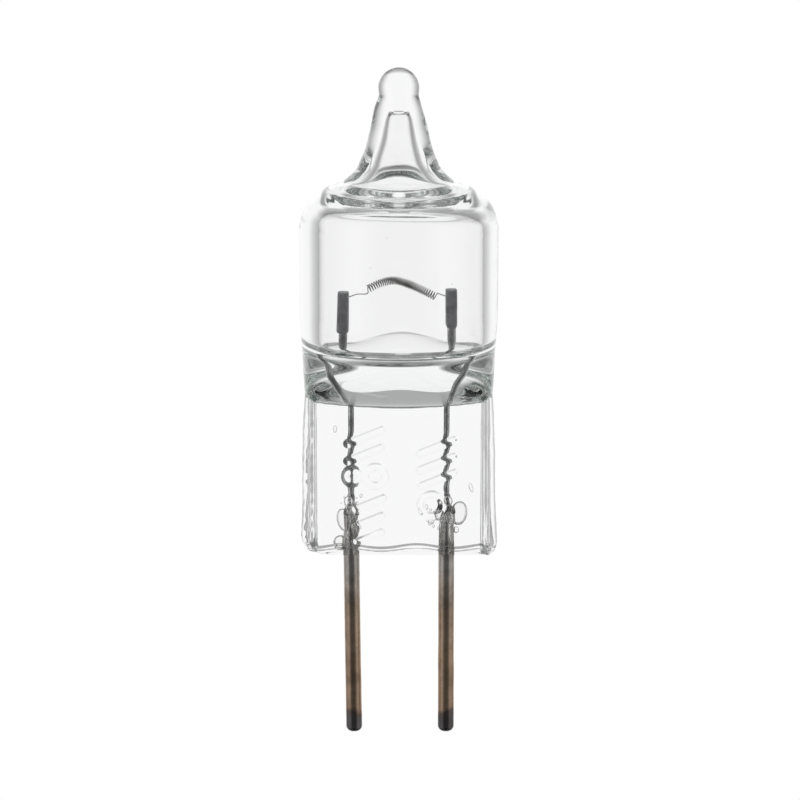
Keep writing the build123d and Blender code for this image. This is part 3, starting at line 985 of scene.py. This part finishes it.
def windingTree():
    # winds the incoming curve into a helix about itself and gives it a round wire
    tree = bpy.data.node_groups.new("coilWinding", "GeometryNodeTree")
    tree.interface.new_socket(name="Geometry", in_out="INPUT", socket_type="NodeSocketGeometry")
    for label, kind in (("Turns", "NodeSocketFloat"), ("Points", "NodeSocketInt"),
                        ("Winding Radius", "NodeSocketFloat"),
                        ("Wire Radius", "NodeSocketFloat"), ("Looseness", "NodeSocketFloat"),
                        ("Material", "NodeSocketMaterial")):
        tree.interface.new_socket(name=label, in_out="INPUT", socket_type=kind)
    tree.interface.new_socket(name="Geometry", in_out="OUTPUT", socket_type="NodeSocketGeometry")
    links = tree.links

    def calc(operation, a, b=0.0):
        node = addNode(tree, "ShaderNodeMath", operation=operation)
        for socket, value in zip(node.inputs, (a, b)):
            if isinstance(value, bpy.types.NodeSocket):
                links.new(value, socket)
            else:
                socket.default_value = value
        return node.outputs[0]

    def scaled(vector, factor):
        node = addNode(tree, "ShaderNodeVectorMath", operation="SCALE")
        links.new(vector, node.inputs[0])
        links.new(factor, node.inputs["Scale"])
        return node.outputs[0]

    given = tree.nodes.new("NodeGroupInput")
    result = tree.nodes.new("NodeGroupOutput")
    points = addNode(tree, "GeometryNodeResampleCurve", mode="COUNT")
    links.new(given.outputs["Geometry"], points.inputs["Curve"])
    links.new(given.outputs["Points"], points.inputs["Count"])
    along = tree.nodes.new("GeometryNodeSplineParameter").outputs["Factor"]
    # the turns gather in the middle: the phase runs faster there than at the ends
    swing = calc("SINE", calc("MULTIPLY", along, 2 * math.pi))
    spread = calc("DIVIDE", given.outputs["Looseness"], 2 * math.pi)
    eased = calc("SUBTRACT", along, calc("MULTIPLY", swing, spread))
    angle = calc("MULTIPLY", eased, calc("MULTIPLY", given.outputs["Turns"], 2 * math.pi))
    tangent = tree.nodes.new("GeometryNodeInputTangent").outputs["Tangent"]
    sideways = addNode(tree, "ShaderNodeVectorMath", operation="CROSS_PRODUCT")
    links.new(tangent, sideways.inputs[0])
    sideways.inputs[1].default_value = (0, 1, 0)
    aside = addNode(tree, "ShaderNodeCombineXYZ")
    aside.inputs["Y"].default_value = 1
    first = scaled(sideways.outputs[0], calc("MULTIPLY", calc("COSINE", angle), given.outputs["Winding Radius"]))
    second = scaled(aside.outputs[0], calc("MULTIPLY", calc("SINE", angle), given.outputs["Winding Radius"]))
    offset = addNode(tree, "ShaderNodeVectorMath", operation="ADD")
    links.new(first, offset.inputs[0])
    links.new(second, offset.inputs[1])
    wound = tree.nodes.new("GeometryNodeSetPosition")
    links.new(points.outputs["Curve"], wound.inputs["Geometry"])
    links.new(offset.outputs[0], wound.inputs["Offset"])
    ring = addNode(tree, "GeometryNodeCurvePrimitiveCircle", mode="RADIUS")
    ring.inputs["Resolution"].default_value = 10
    links.new(given.outputs["Wire Radius"], ring.inputs["Radius"])
    tube = tree.nodes.new("GeometryNodeCurveToMesh")
    links.new(wound.outputs["Geometry"], tube.inputs["Curve"])
    links.new(ring.outputs["Curve"], tube.inputs["Profile Curve"])
    tube.inputs["Fill Caps"].default_value = True
    real = tree.nodes.new("GeometryNodeRealizeInstances")
    links.new(tube.outputs["Mesh"], real.inputs["Geometry"])
    paint = tree.nodes.new("GeometryNodeSetMaterial")
    links.new(real.outputs["Geometry"], paint.inputs["Geometry"])
    links.new(given.outputs["Material"], paint.inputs["Material"])
    links.new(paint.outputs["Geometry"], result.inputs["Geometry"])
    return tree


def coilAxis(s):
    # from the left end up over the bend and down to the right end
    return curveThrough([s["leftEnd"], s["leftRise"], s["peak"], s["rightFall"], s["rightEnd"]], 60)


def makeFilament(s, material):
    axis = coilAxis(s)
    curve = bpy.data.curves.new("coilAxis", "CURVE")
    curve.dimensions = "3D"
    spline = curve.splines.new("POLY")
    spline.points.add(len(axis) - 1)
    for point, (x, z) in zip(spline.points, axis):
        point.co = (x * mm, 0, z * mm, 1)
    holder = bpy.data.objects.new("coilAxis", curve)
    bpy.context.scene.collection.objects.link(holder)
    winding = holder.modifiers.new("winding", "NODES")
    winding.node_group = windingTree()
    values = {
        "Turns": float(s["turns"]), "Points": s["turns"] * s["pointsPerTurn"],
        "Winding Radius": s["radius"] * mm,
        "Wire Radius": s["wire"] * mm, "Looseness": s["looseness"], "Material": material}
    for item in winding.node_group.interface.items_tree:
        if item.in_out == "INPUT" and item.name in values:
            winding[item.identifier] = values[item.name]
    graph = bpy.context.evaluated_depsgraph_get()
    coil = bpy.data.meshes.new_from_object(holder.evaluated_get(graph))
    bpy.data.objects.remove(holder)
    print("coil has", len(coil.polygons), "faces")
    parts = MeshParts()
    for route in (s["leftLeg"], s["rightLeg"]):
        line = curveThrough(route, 40)
        parts.addShell(swept(line, s["wire"], s["wire"], 2, 10, across=(0, 1, 0)))
    legs = parts.write("filamentCoil", material)
    joined = bmesh.new()
    joined.from_mesh(legs.data)
    joined.from_mesh(coil)
    joined.to_mesh(legs.data)
    joined.free()
    legs.data.polygons.foreach_set("use_smooth", [True] * len(legs.data.polygons))
    finished(legs, "filament")


leftClamp, rightClamp = clampSettings("left"), clampSettings("right")
coilStart, coilStop = leftClamp["x"] + 1.08, rightClamp["x"] - 0.66
filament.update({
    "leftEnd": (coilStart, 11.15),
    "leftRise": (coilStart + 0.56, 11.40),
    "peak": (coilStart + 1.12, 11.49),
    "rightFall": (coilStart + 1.86, 11.26),
    "rightEnd": (coilStop, 10.82),
})
start, stop = filament["leftEnd"], filament["rightEnd"]
filament["leftLeg"] = [
    (start[0], 0, start[1] + filament["radius"]), (start[0] - 0.03, 0, start[1] + 0.02),
    (start[0] - 0.02, 0, start[1] - 0.16), (start[0] - 0.12, 0, start[1] - 0.22),
    (start[0] - 0.48, 0, start[1] - 0.23), (leftClamp["x"] + 0.2, 0, 10.79),
    (leftClamp["x"] - 0.1, 0, 10.78)]
filament["rightLeg"] = [
    (stop[0] + 0.06, 0, stop[1] + filament["radius"]), (stop[0] + 0.16, 0, stop[1] + 0.11),
    (stop[0] + 0.30, 0, stop[1] + 0.06), (rightClamp["x"] - 0.2, 0, 10.84), (rightClamp["x"] + 0.1, 0, 10.83)]
makeFilament(filament, coilMetal)
print("filament ready")
